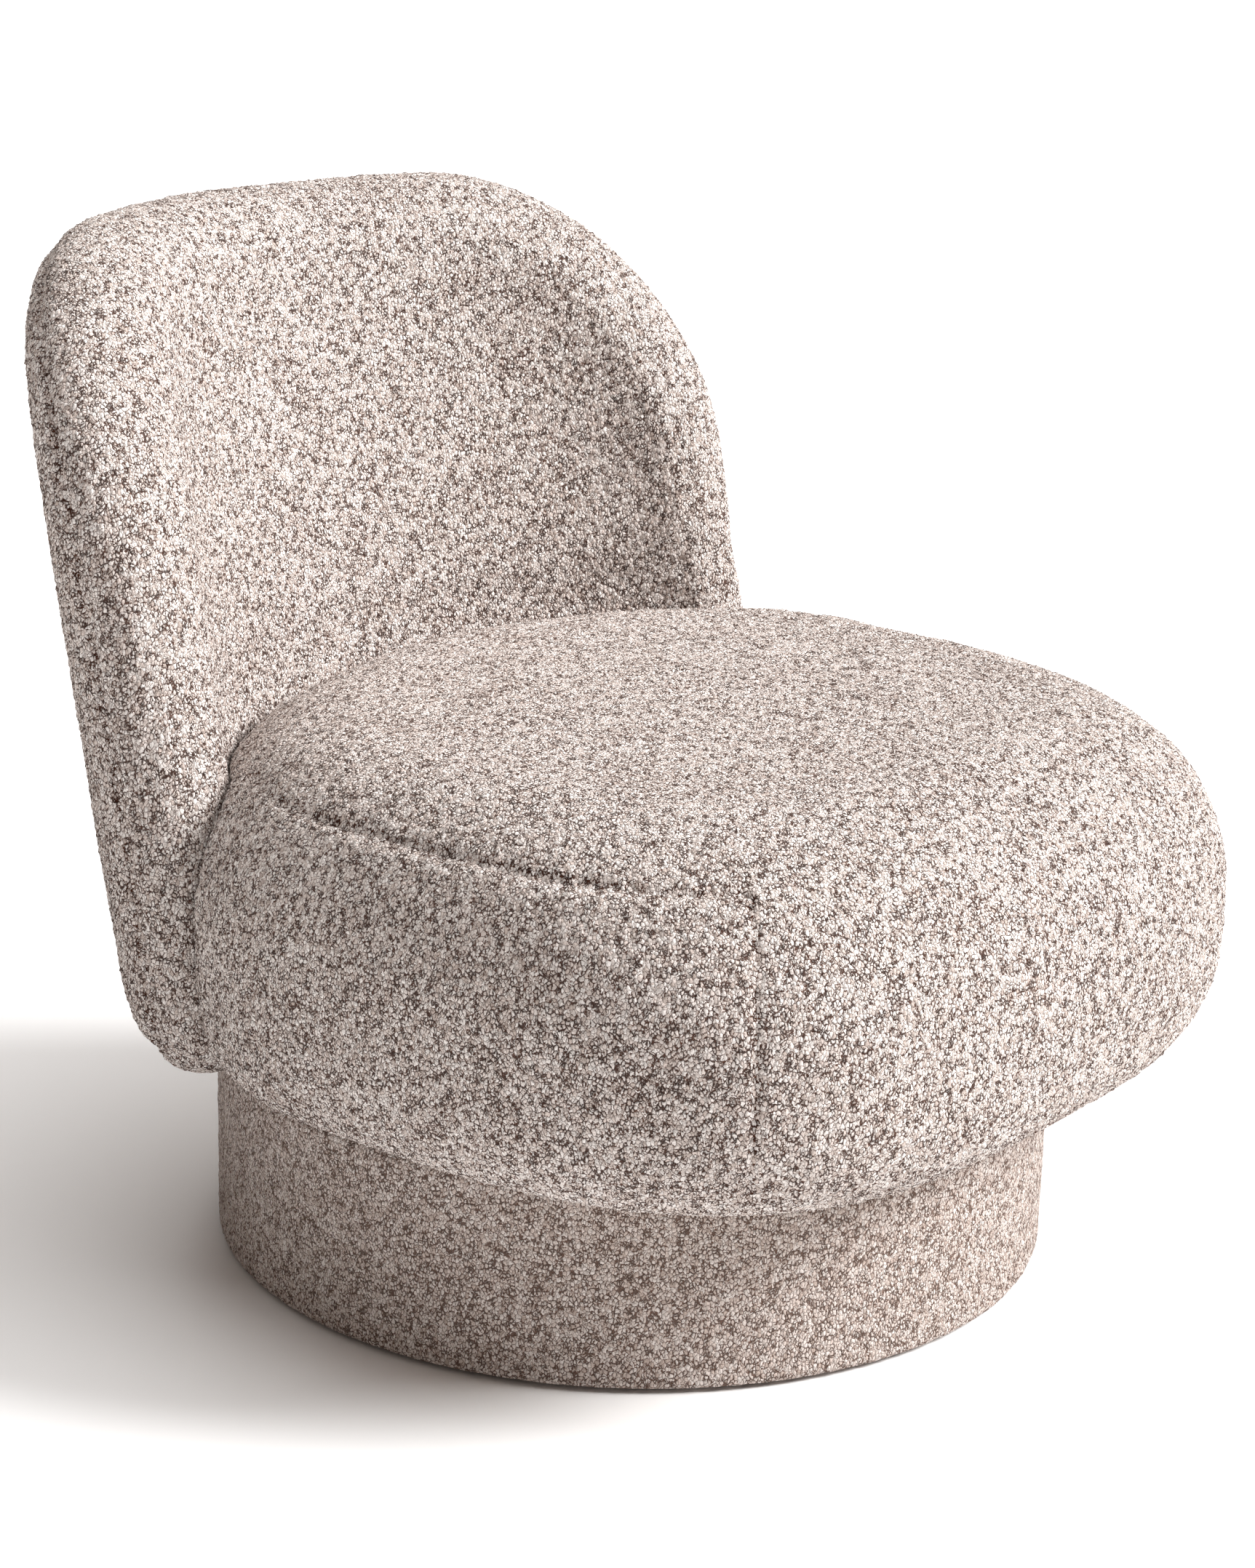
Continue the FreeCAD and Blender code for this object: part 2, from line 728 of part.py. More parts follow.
def post(side, grow):
    """Leaning upright between the two ribs."""
    low, high = rib_levels()
    inner = back_bend_radius + mid_panel + hole_clearance - grow
    half = post_width / 2 / back_bend_radius + grow / back_bend_radius
    return bent_solid(inner, inner + rib_width + 2 * grow, half, low + rib_height, high, 0.0,
                      side * math.radians(post_angle))


def back_foams():
    """Thick foam in front of the bent panel and round its edge, thinner foam behind it."""
    core = back_core(cover_thickness + soft_gap)
    shell_room = bent_solid(back_bend_radius - mid_panel - soft_gap, back_bend_radius + mid_panel + soft_gap,
                            math.radians(back_half_angle) - (panel_rim_inset - soft_gap) / back_bend_radius,
                            back_bottom + panel_bottom_inset - soft_gap, back_top - panel_rim_inset + soft_gap)
    split = back_bend_radius + mid_panel + soft_gap
    wide = math.radians(back_half_angle + 10)
    behind = bent_solid(split, back_bend_radius + back_thickness, wide, back_bottom - 20, back_top + 20)
    feet = [bracket_foot(side, soft_gap) for side in (-1, 1)] + [bracket_leg(side, soft_gap) for side in (-1, 1)]
    inner = without(core, [behind, shell_room] + feet + leg_bolts(soft_gap))
    low, high = rib_levels()
    frame = [rib(low, soft_gap), rib(high, soft_gap), post(-1, soft_gap), post(1, soft_gap)]
    outer = without(core.common(behind), frame + leg_bolts(soft_gap))
    return inner, outer


def back_covers():
    """Inside cover, which wraps the rim, and outside cover, sewn to it near the rear edge."""
    feet = [bracket_foot(side, soft_gap) for side in (-1, 1)]
    skin = without(back_form(0), [back_core(cover_thickness)] + feet)
    seam = back_bend_radius + back_thickness / 2 - back_seam_depth
    wide = math.radians(back_half_angle + 10)

    def zone(radius):
        return bent_solid(radius, back_bend_radius + back_thickness, wide, back_bottom - 20, back_top + 20)

    return skin.cut(zone(seam)), skin.common(zone(seam + seam_gap))


def build_plinth():
    screws = plinth_screws(0)
    screw_holes = plinth_screws(hole_clearance)
    pivot_hole = disc(pivot_radius + pivot_fixed_clearance, ring_bottom, board_bottom)
    plate_holes = [disc(plate_bolt_radius + hole_clearance, panel_top - lower_screw_length, panel_top + 1, x, y)
                   for x, y in corners(lower_screw_spacing)]
    bottom_ring = ring(wall_inner - plinth_ring_width, wall_inner, ring_bottom, ring_bottom + plinth_board)
    top_panel = disc(wall_inner, panel_top - plinth_board, panel_top)
    dust = disc(plinth_radius - plinth_fold + 24, plinth_base, plinth_base + dust_cloth_thickness)
    return {
        "floor_glides": glides(),
        "plinth_dust_cloth": without(dust, glide_holes()),
        "plinth_bottom_ring": without(bottom_ring, screw_holes + glide_holes()),
        "plinth_blocks": [without(b, screw_holes) for b in plinth_blocks()],
        "plinth_screws": screws,
        "plinth_wall": ring(wall_inner, wall_outer, ring_bottom, panel_top),
        "plinth_top_panel": without(top_panel, screw_holes + [pivot_hole] + plate_holes),
        "plinth_wadding": plinth_wadding_sleeve(),
        "plinth_cover": plinth_cover(),
    }


def build_swivel():
    lower_screws = screws_down(corners(lower_screw_spacing), panel_top + plate_thickness, lower_screw_length)
    plate_low = board_bottom - plate_thickness
    upper_bolts = [upturned(b, plate_low) for b in
                   screws_down(corners(upper_bolt_spacing), plate_low, plate_thickness + seat_board + tee_nut_thickness)]
    tee_nuts = [disc(tee_nut_radius, board_top, board_top + tee_nut_thickness, x, y).cut(
        disc(plate_bolt_radius, board_top - 1, board_top + 5, x, y)) for x, y in corners(upper_bolt_spacing)]
    return {
        "swivel_lower_plate": swivel_lower_plate(),
        "swivel_lower_screws": lower_screws,
        "pivot_bolt": pivot_bolt(),
        "pivot_thrust_washer": pivot_thrust_washer(),
        "pivot_nut": pivot_nut(),
        "ball_cage": ball_cage(),
        "swivel_balls": swivel_balls(),
        "swivel_upper_plate": swivel_upper_plate(),
        "swivel_upper_bolts": upper_bolts,
        "tee_nuts": tee_nuts,
    }


def build_seat():
    front, rear, left, right = seat_rails()
    top_cover, left_cover, right_cover = seat_covers()
    return {
        "seat_board": seat_board_panel(),
        "seat_front_rail": front,
        "seat_rear_rail": rear,
        "seat_left_rail": left,
        "seat_right_rail": right,
        "seat_corner_blocks": corner_blocks(),
        "seat_springs": [sinuous_spring(x) for x in spring_columns()],
        "spring_clips": spring_clips(),
        "spring_pad": spring_pad(),
        "seat_foam": seat_foam(),
        "seat_top_cover": top_cover,
        "seat_left_cover": left_cover,
        "seat_right_cover": right_cover,
        "seat_dust_cloth": seat_dust_cloth(),
    }


def build_back():
    low, high = rib_levels()
    inner_foam, outer_foam = back_foams()
    inside_cover, outside_cover = back_covers()
    return {
        "back_brackets": back_brackets(),
        "bracket_foot_screws": bracket_screws(0),
        "bracket_leg_bolts": leg_bolts(0),
        "back_panel": back_panel(),
        "back_lower_rib": rib(low, 0),
        "back_upper_rib": rib(high, 0),
        "back_left_post": post(-1, 0),
        "back_right_post": post(1, 0),
        "back_inner_foam": inner_foam,
        "back_outer_foam": outer_foam,
        "inside_back_cover": inside_cover,
        "outside_back_cover": outside_cover,
    }


def main():
    pieces = {}
    for build in (build_plinth, build_swivel, build_seat, build_back):
        pieces.update(build())
    rear = pieces["outside_back_cover"].optimalBoundingBox(False, False).YMax
    middle = (rear - seat_front) / 2
    os.makedirs("parts", exist_ok=True)
    for name, shape in pieces.items():
        solids = shape if isinstance(shape, list) else shape.Solids
        whole = solids[0].copy() if len(solids) == 1 else Part.makeCompound([s.copy() for s in solids])
        whole.translate(Vector(0, -middle, 0))
        whole.exportStep("parts/" + name + ".step")
        print(name, len(whole.Solids), whole.isValid(), round(whole.Volume / 1000, 1))
    print("swivel axis at y", round(-middle, 3))


main()
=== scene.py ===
import bpy
import json
import math
from mathutils import Matrix, Vector, noise
from mathutils.bvhtree import BVHTree

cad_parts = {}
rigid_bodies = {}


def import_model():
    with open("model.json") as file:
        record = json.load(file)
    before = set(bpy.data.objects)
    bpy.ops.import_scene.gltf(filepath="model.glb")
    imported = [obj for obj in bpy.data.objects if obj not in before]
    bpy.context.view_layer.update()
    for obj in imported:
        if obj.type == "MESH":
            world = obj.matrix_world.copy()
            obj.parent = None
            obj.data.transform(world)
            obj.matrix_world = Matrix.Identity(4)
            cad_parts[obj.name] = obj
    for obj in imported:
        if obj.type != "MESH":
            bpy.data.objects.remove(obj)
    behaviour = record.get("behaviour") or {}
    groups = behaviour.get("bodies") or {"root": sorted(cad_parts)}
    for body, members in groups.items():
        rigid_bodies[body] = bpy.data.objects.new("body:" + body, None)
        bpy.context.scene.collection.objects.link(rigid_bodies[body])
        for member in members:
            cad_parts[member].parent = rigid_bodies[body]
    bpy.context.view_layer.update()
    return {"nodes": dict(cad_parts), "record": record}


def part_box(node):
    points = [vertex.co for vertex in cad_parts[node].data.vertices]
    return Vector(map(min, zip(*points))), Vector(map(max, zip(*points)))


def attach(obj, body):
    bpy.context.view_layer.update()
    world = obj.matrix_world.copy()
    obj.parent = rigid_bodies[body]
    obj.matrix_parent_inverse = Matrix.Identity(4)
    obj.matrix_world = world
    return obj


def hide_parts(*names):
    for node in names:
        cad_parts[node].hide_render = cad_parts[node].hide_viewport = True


for left_over in list(bpy.data.objects):
    bpy.data.objects.remove(left_over)
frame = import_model()

# Sizes in metres. The swivel axis is in front of the origin, which is under the middle of the chair.
AXIS_Y = -0.024922

SEAT_HALF_WIDTH = 0.3658
SEAT_FRONT = 0.3889
SEAT_REAR = 0.2965
SEAT_BOTTOM = 0.1590
SEAT_TOP = 0.4080
SEAT_CROWN = 0.007
SEAT_EDGE = 0.1073
SEAT_SEAM_HEIGHT = 0.378
SEAT_SEAM_CORNER = (0.268, -0.301)

BACK_RADIUS = 0.395
BACK_HALF_ANGLE = math.radians(56.0)
BACK_FOOT = 0.159
BACK_TOP = 0.7235
BACK_HALF_THICKNESS = 0.047
BACK_RIM = 0.045
BACK_TOP_CORNER = 0.216
BACK_BOTTOM_CORNER = 0.060
BACK_LUMBAR = 0.016
BACK_FOOT_Y = 0.280
BEND_FOOT = 0.158
LEAN = math.tan(math.radians(12.2))
SEAM_RADIUS = 0.428

PLINTH_RADIUS = 0.305
PLINTH_BOTTOM = 0.003
PLINTH_TOP = 0.152

CLOTH_FRAMES = 12
CLOTH_PRESSURE = 4.0
MESH_SIZE = 0.0055
NAP = 0.0011
TUFTS_PER_METRE = 410.0
GAP = 0.0005


def clamp(value, low, high):
    return max(low, min(high, value))


def smooth(value, low, high):
    share = clamp((value - low) / (high - low), 0.0, 1.0)
    return share * share * (3.0 - 2.0 * share)


def signed_power(value, power):
    return math.copysign(abs(value) ** power, value)


# Working in the editor

def only(piece):
    """Makes one object the selected and active one."""
    if bpy.context.object and bpy.context.object.mode != "OBJECT":
        bpy.ops.object.mode_set(mode="OBJECT")
    bpy.ops.object.select_all(action="DESELECT")
    piece.select_set(True)
    bpy.context.view_layer.objects.active = piece


def placed(operator, name, **settings):
    bpy.ops.object.select_all(action="DESELECT")
    operator(**settings)
    piece = bpy.context.object
    piece.name = name
    piece.data.name = name
    return piece


def apply_modifier(piece, kind, name, **settings):
    only(piece)
    modifier = piece.modifiers.new(name, kind)
    for key, value in settings.items():
        setattr(modifier, key, value)
    bpy.ops.object.modifier_apply(modifier=modifier.name)


def reshape(piece, rule):
    """Moves every vertex to the place that the rule gives for it."""
    for vertex in piece.data.vertices:
        vertex.co = rule(vertex.co)
    piece.data.update()


def outwards(piece):
    only(piece)
    bpy.ops.object.mode_set(mode="EDIT")
    bpy.ops.mesh.select_all(action="SELECT")
    bpy.ops.mesh.remove_doubles(threshold=0.00005)
    bpy.ops.mesh.normals_make_consistent(inside=False)
    bpy.ops.object.mode_set(mode="OBJECT")


def cut_away(piece, tool):
    apply_modifier(piece, "BOOLEAN", "cut", operation="DIFFERENCE", object=tool, solver="EXACT")
    bpy.data.objects.remove(tool)


# The forms

def seat_outline(turn, inset):
    """Plan of the seat at a turn about the swivel axis, drawn in by an inset."""
    across, along = math.cos(turn), math.sin(turn)
    power = 3.068 if along < 0 else 1.952
    reach = SEAT_FRONT if along < 0 else SEAT_REAR
    return ((SEAT_HALF_WIDTH - inset) * signed_power(across, 2 / power),
            (reach - inset) * signed_power(along, 2 / power))


def seat_form(point):
    """A ball's point becomes the seat's: soft shoulder, full side, squarer lower edge, flat caps."""
    turn = math.atan2(point.y, point.x)
    tilt = math.asin(clamp(point.z, -1.0, 1.0))
    cap = math.radians(60)
    share = clamp(tilt / cap, -1.0, 1.0) * math.pi / 2
    power = 1.745 if share >= 0 else 4.0
    inset = SEAT_EDGE * (1 - abs(math.cos(share)) ** (2 / power))
    middle, half = (SEAT_TOP + SEAT_BOTTOM) / 2, (SEAT_TOP - SEAT_BOTTOM) / 2
    z = middle + half * signed_power(math.sin(share), 2 / power)
    x, y = seat_outline(turn, inset)
    shrink = clamp((math.pi / 2 - abs(tilt)) / (math.pi / 2 - cap), 0.0, 1.0)
    if tilt > cap:
        z += SEAT_CROWN * (1 - shrink ** 2) ** 2
    if abs(tilt) > cap:
        x, y = x * shrink, y * shrink
    return Vector((x, y + AXIS_Y, z))


def back_outline(turn, inset):
    """Outline of the flat back before it is bent, as (along the bend, height), at an outline angle."""
    half = BACK_RADIUS * BACK_HALF_ANGLE - inset
    low, high = BACK_FOOT + inset, BACK_TOP - inset
    top, bottom = BACK_TOP_CORNER - inset, max(BACK_BOTTOM_CORNER - inset, 0.012)
    # Straight runs and corner arcs, walked by length from the middle of the bottom
    runs = [half - bottom, math.pi / 2 * bottom, high - low - top - bottom, math.pi / 2 * top, half - top]
    length = abs(turn) / math.pi * sum(runs)
    side = 1 if turn >= 0 else -1
    if length <= runs[0]:
        return side * length, low
    length -= runs[0]
    if length <= runs[1]:
        a = length / bottom
        return side * (half - bottom + bottom * math.sin(a)), low + bottom - bottom * math.cos(a)
    length -= runs[1]
    if length <= runs[2]:
        return side * half, low + bottom + length
    length -= runs[2]
    if length <= runs[3]:
        a = length / top
        return side * (half - top + top * math.cos(a)), high - top + top * math.sin(a)
    length -= runs[3]
    return side * (half - top - length), high


def bend_centre(z):
    return BACK_FOOT_Y - BACK_RADIUS + (z - BEND_FOOT) * LEAN + AXIS_Y


def bent(along, depth, z):
    """Wraps a point of the flat back round the leaning bend; depth is outwards from the mid sheet."""
    angle = along / BACK_RADIUS
    radius = BACK_RADIUS + depth
    return Vector((radius * math.sin(angle), bend_centre(z) + radius * math.cos(angle), z))


def unbent(point):
    """Distance of a point from the leaning bend's axis, at its own height."""
    return math.hypot(point.x, point.y - bend_centre(point.z))


def lumbar(along, z):
    """Extra thickness of the inside face, fullest in the small of the back."""
    sideways = smooth(abs(along), 0.34, 0.02)
    upright = smooth(z, 0.20, 0.42) * smooth(z, 0.68, 0.46)
    return BACK_LUMBAR * sideways * upright


def back_form(point):
    turn = math.atan2(point.x, -point.z)
    tilt = math.asin(clamp(point.y, -1.0, 1.0))
    cap = math.radians(32)
    share = clamp(tilt / cap, -1.0, 1.0) * math.pi / 2
    inset = BACK_RIM * (1 - math.cos(share))
    depth = BACK_HALF_THICKNESS * math.sin(share)
    along, z = back_outline(turn, inset)
    shrink = clamp((math.pi / 2 - abs(tilt)) / (math.pi / 2 - cap), 0.0, 1.0)
    if abs(tilt) > cap:
        middle = (BACK_FOOT + BACK_TOP) / 2
        along, z = along * shrink, middle + (z - middle) * shrink
    if depth < 0:
        depth -= lumbar(along, z) * min(1.0, -depth / BACK_HALF_THICKNESS)
    return bent(along, depth, z)


def make_back():
    back = placed(bpy.ops.mesh.primitive_uv_sphere_add, "back_upholstery",
                  segments=160, ring_count=72, radius=1.0)
    only(back)
    bpy.ops.object.mode_set(mode="EDIT")
    bpy.ops.mesh.select_all(action="SELECT")
    bpy.ops.transform.rotate(value=math.pi / 2, orient_axis="X", center_override=(0, 0, 0))
    bpy.ops.object.mode_set(mode="OBJECT")
    reshape(back, back_form)
    outwards(back)
    return back


def make_seat(back):
    seat = placed(bpy.ops.mesh.primitive_uv_sphere_add, "seat_upholstery",
                  segments=144, ring_count=72, radius=1.0)
    reshape(seat, seat_form)
    outwards(seat)
    # Room for the bent back, for the sprung frame and for the board under it
    room = back.copy()
    room.data = back.data.copy()
    bpy.context.collection.objects.link(room)
    apply_modifier(room, "DISPLACE", "room", strength=0.0016, mid_level=0.0)
    cut_away(seat, room)
    front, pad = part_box("seat_front_rail"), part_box("spring_pad")
    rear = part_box("seat_rear_rail")[1].y
    low = Vector((front[0].x - GAP, front[0].y - GAP, 0.14))
    high = Vector((front[1].x + GAP, rear + GAP, pad[1].z + GAP))
    pocket = placed(bpy.ops.mesh.primitive_cube_add, "pocket", size=1.0, location=(low + high) / 2,
                    scale=high - low)
    cut_away(seat, pocket)
    recess = placed(bpy.ops.mesh.primitive_cylinder_add, "recess", vertices=144, radius=1.0, depth=1.0)

    def board_room(point):
        x, y = seat_outline(math.atan2(point.y, point.x), 0.066)
        return Vector((x, y + AXIS_Y, 0.14 if point.z < 0 else 0.1797))

    reshape(recess, board_room)
    outwards(recess)
    cut_away(seat, recess)
    return seat


def remesh(piece, size):
    only(piece)
    piece.data.remesh_voxel_size = size
    bpy.ops.object.voxel_remesh()


def nearness(piece, other, reach):
    """For each vertex, 1 on the other piece's surface falling to 0 at the reach."""
    tree = BVHTree.FromPolygons([v.co for v in other.data.vertices],
                                [p.vertices for p in other.data.polygons])
    shares = []
    for vertex in piece.data.vertices:
        found = tree.find_nearest(vertex.co, reach)
        shares.append(1 - found[3] / reach if found[0] else 0.0)
    return shares


def relax(piece, holds, times):
    """Smooths the mesh where it isn't held."""
    group = piece.vertex_groups.new(name="free")
    for index, hold in enumerate(holds):
        group.add([index], 1 - clamp(hold, 0, 1), "REPLACE")
    apply_modifier(piece, "SMOOTH", "relax", factor=0.5, iterations=times, vertex_group="free")


def inflate(piece, pins, most):
    """Fills the cover with cloth pressure, then limits how far each point may go."""
    before = [v.co.copy() for v in piece.data.vertices]
    group = piece.vertex_groups.new(name="pinned")
    for index, pin in enumerate(pins):
        if pin > 0:
            group.add([index], clamp(pin, 0, 1), "REPLACE")
    scene = bpy.context.scene
    only(piece)
    cloth = piece.modifiers.new("cloth", "CLOTH")
    cloth.settings.quality = 4
    cloth.settings.mass = 0.3
    cloth.settings.tension_stiffness = 12
    cloth.settings.compression_stiffness = 6
    cloth.settings.bending_stiffness = 1.2
    cloth.settings.use_pressure = True
    cloth.settings.uniform_pressure_force = CLOTH_PRESSURE
    cloth.settings.vertex_group_mass = "pinned"
    cloth.settings.effector_weights.gravity = 0
    cloth.collision_settings.use_collision = False
    cloth.point_cache.frame_start, cloth.point_cache.frame_end = 1, CLOTH_FRAMES
    for number in range(1, CLOTH_FRAMES + 1):
        scene.frame_set(number)
    bpy.ops.object.modifier_apply(modifier=cloth.name)
    scene.frame_set(1)
    for vertex, start in zip(piece.data.vertices, before):
        step = vertex.co - start
        if step.length > 1e-9:
            vertex.co = start + step * (most * math.tanh(step.length / most) / step.length)
    piece.data.update()


def subdivide(piece):
    apply_modifier(piece, "SUBSURF", "finer", levels=1, render_levels=1)


# Seams and nap

def puckers(place, seed):
    """Uneven pull of the stitches along a seam, between 0.6 and 1.4."""
    return 1 + 0.4 * noise.noise(place * 55 + Vector((seed, 0, 0)))


def push(piece, amount):
    """Moves each point along its normal by amount(point, index)."""
    normals = [normal.vector.copy() for normal in piece.data.vertex_normals]
    places = [vertex.co.copy() for vertex in piece.data.vertices]
    for index, (place, normal) in enumerate(zip(places, normals)):
        places[index] = place + normal * amount(place, index)
    piece.data.vertices.foreach_set("co", [c for place in places for c in place])
    piece.data.update()


def sink(piece, distance, depth, half, seed, where=lambda p: 1.0):
    """Draws the cover in along a line and paints shade into its crease: distance(point) is how far a point is
    from the seam.
    """
    def amount(place, index):
        share, away = where(place), distance(place)
        if share <= 0 or away is None or away > half * 4:
            return 0.0
        fall = math.exp(-(away / half) ** 2) + 0.32 * math.exp(-(away / (half * 2.2)) ** 2)
        return -depth * share * fall * puckers(place, seed)

    push(piece, amount)
    # Painted shade: the stitched line's sunk crease is darkened in colour, with more dark ground showing
    # between the tufts
    shade = piece.data.attributes.get("seam") or piece.data.attributes.new("seam", "FLOAT", "POINT")
    for vertex, entry in zip(piece.data.vertices, shade.data):
        share, away = where(vertex.co), distance(vertex.co)
        if share > 0 and away is not None and away < half * 2:
            entry.value = max(entry.value, share * math.exp(-(away / (half * 0.55)) ** 2))


def top_seam(place):
    return abs(place.z - SEAT_SEAM_HEIGHT)


def corner_seam(place):
    """Distance from the upright seam at the front corners, below the top seam."""
    if place.z > SEAT_SEAM_HEIGHT or place.y > AXIS_Y:
        return None
    line = abs(place.x) + (place.y - AXIS_Y)
    return abs(line - (SEAT_SEAM_CORNER[0] + SEAT_SEAM_CORNER[1])) / math.sqrt(2)


def side_panel(place):
    """1 beside the seat, where the side cover meets the top cover, and 0 across its front."""
    line = abs(place.x) + (place.y - AXIS_Y) - (SEAT_SEAM_CORNER[0] + SEAT_SEAM_CORNER[1])
    return smooth(line, -0.004, 0.004) * smooth(place.y, 0.20, 0.05)


def back_seam(place):
    return abs(unbent(place) - SEAM_RADIUS)


def nap(piece, height, seed):
    """Tiny lumps of the tufted yarn, so that the outline isn't a clean line."""
    shift = Vector((seed, seed * 0.7, 0))
    push(piece, lambda place, index: height * 1.6 * noise.noise(place * 420 + shift))


def waves(piece, height, size, seed, holds):
    """Slow unevenness of the padding under the cover."""
    shift = Vector((seed, 3.1, 0))
    push(piece, lambda place, index: height * (1 - holds[index]) * noise.noise(place / size + shift))


# Pieces

def seat_holds(seat, back):
    """1 where the seat's cover is held: against the back, underneath and round the hidden frame."""
    near = nearness(seat, back, 0.022)
    holds = []
    for vertex, close in zip(seat.data.vertices, near):
        place = vertex.co
        under = smooth(place.z, 0.176, 0.162)
        x, y = seat_outline(math.atan2(place.y - AXIS_Y, place.x), 0.0)
        share = math.hypot(place.x, place.y - AXIS_Y) / max(math.hypot(x, y), 0.01)
        hidden = 1.0 if place.z < 0.30 and share < 0.84 else 0.0
        holds.append(max(smooth(close, 0.0, 0.75), under, hidden))
    return holds


def back_holds(back):
    holds = []
    for vertex in back.data.vertices:
        radius = unbent(vertex.co)
        inside = smooth(radius, BACK_RADIUS + 0.01, BACK_RADIUS - 0.02)
        low = smooth(vertex.co.z, 0.43, 0.39) * inside
        foot = smooth(vertex.co.z, 0.180, 0.163)
        holds.append(max(low, foot))
    return holds


back = make_back()
seat = make_seat(back)
remesh(back, MESH_SIZE)
remesh(seat, MESH_SIZE)
seat_fixed = seat_holds(seat, back)
back_fixed = back_holds(back)
relax(seat, [max(0.0, h - 0.2) for h in seat_fixed], 3)
inflate(back, back_fixed, 0.0025)
inflate(seat, seat_fixed, 0.0030)
waves(seat, 0.0016, 0.085, 4.0, seat_fixed)
waves(back, 0.0012, 0.10, 9.0, back_fixed)
subdivide(seat)
subdivide(back)
sink(seat, top_seam, 0.0022, 0.0028, 2.0, side_panel)
sink(seat, corner_seam, 0.0014, 0.0026, 5.0, lambda p: smooth(p.z, 0.165, 0.19))
sink(back, back_seam, 0.0024, 0.0038, 8.0, lambda p: 1.0)
nap(seat, NAP, 11.0)
nap(back, NAP, 17.0)


def make_plinth():
    """Tube of padded fabric, folded in at both ends, spun from its section."""
    outer, inner, fold = PLINTH_RADIUS, PLINTH_RADIUS - 0.0079, PLINTH_RADIUS - 0.034
    low, high = PLINTH_BOTTOM, PLINTH_TOP
    section = [(fold, low), (outer - 0.004, low), (outer - 0.001, low + 0.0012), (outer, low + 0.004)]
    rows = 34
    for row in range(1, rows):
        z = low + 0.004 + (high - low - 0.013) * row / rows
        section.append((outer, z))
    for step in range(0, 7):
        a = math.radians(90) * step / 6
        section.append((outer - 0.009 + 0.009 * math.cos(a), high - 0.009 + 0.009 * math.sin(a)))
    thick = 0.0028
    section += [(fold, high), (fold, high - thick), (inner, high - thick), (inner, low + thick),
                (fold, low + thick)]
    plinth = placed(bpy.ops.mesh.primitive_circle_add, "plinth_upholstery", vertices=len(section), radius=1.0)
    for vertex, (radius, z) in zip(plinth.data.vertices, section):
        vertex.co = Vector((radius, 0, z))
    only(plinth)
    bpy.ops.object.mode_set(mode="EDIT")
    bpy.ops.mesh.select_all(action="SELECT")
    bpy.ops.mesh.spin(steps=384, angle=math.tau, center=(0, 0, 0), axis=(0, 0, 1))
    bpy.ops.mesh.select_all(action="SELECT")
    bpy.ops.mesh.remove_doubles(threshold=0.0001)
    bpy.ops.mesh.normals_make_consistent(inside=False)
    bpy.ops.object.mode_set(mode="OBJECT")
    for vertex in plinth.data.vertices:
        place = vertex.co
        radius = math.hypot(place.x, place.y)
        if radius > outer - 0.006:
            ring_noise = noise.noise(Vector((place.x * 9, place.y * 9, place.z * 5 + 3)))
            fine = noise.noise(place * 420)
            factor = (radius + 0.0009 * ring_noise + 0.0009 * fine) / radius
            place.x, place.y = place.x * factor, place.y * factor
        place.y += AXIS_Y
    plinth.data.update()
    return plinth


plinth = make_plinth()


def make_dust_cloth(name, inner, outer, low, high):
    """A thin stretched ring of cloth; outer(turn) gives the distance of its edge from the swivel axis."""
    cloth = placed(bpy.ops.mesh.primitive_torus_add, name, major_segments=160, minor_segments=24,
                   major_radius=1.0, minor_radius=0.5)

    def flat(point):
        turn = math.atan2(point.y, point.x)
        around = math.atan2(point.z, math.hypot(point.x, point.y) - 1.0)
        share = (1 + math.cos(around)) / 2
        radius = inner + (outer(turn) - inner) * share
        sag = 0.00025 * noise.noise(Vector((math.cos(turn) * 4, math.sin(turn) * 4, share * 3)))
        height = (low + high) / 2 + (high - low) / 2 * signed_power(math.sin(around), 0.3) * 0.8 + sag
        return Vector((radius * math.cos(turn), radius * math.sin(turn) + AXIS_Y, height))

    reshape(cloth, flat)
    outwards(cloth)
    return cloth


def seat_cloth_edge(turn):
    x, y = seat_outline(turn, 0.084)
    edge = math.hypot(x, y)
    # It stops short of the back
    inside = BACK_RADIUS - BACK_HALF_THICKNESS - 0.012
    centre = bend_centre(BEND_FOOT) - AXIS_Y
    reach = centre * math.sin(turn) + math.sqrt(inside ** 2 - (centre * math.cos(turn)) ** 2)
    return max(min(edge, reach), 0.219)


seat_low, seat_high = (corner.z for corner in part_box("seat_dust_cloth"))
base_low, base_high = (corner.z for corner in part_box("plinth_dust_cloth"))
base_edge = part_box("plinth_dust_cloth")[1].x
seat_cloth = make_dust_cloth("seat_underside_cloth", 0.2165, seat_cloth_edge, seat_low, seat_high)
base_cloth = make_dust_cloth("plinth_underside_cloth", 0.004, lambda turn: base_edge - GAP,
                             base_low, base_high)


# Materials

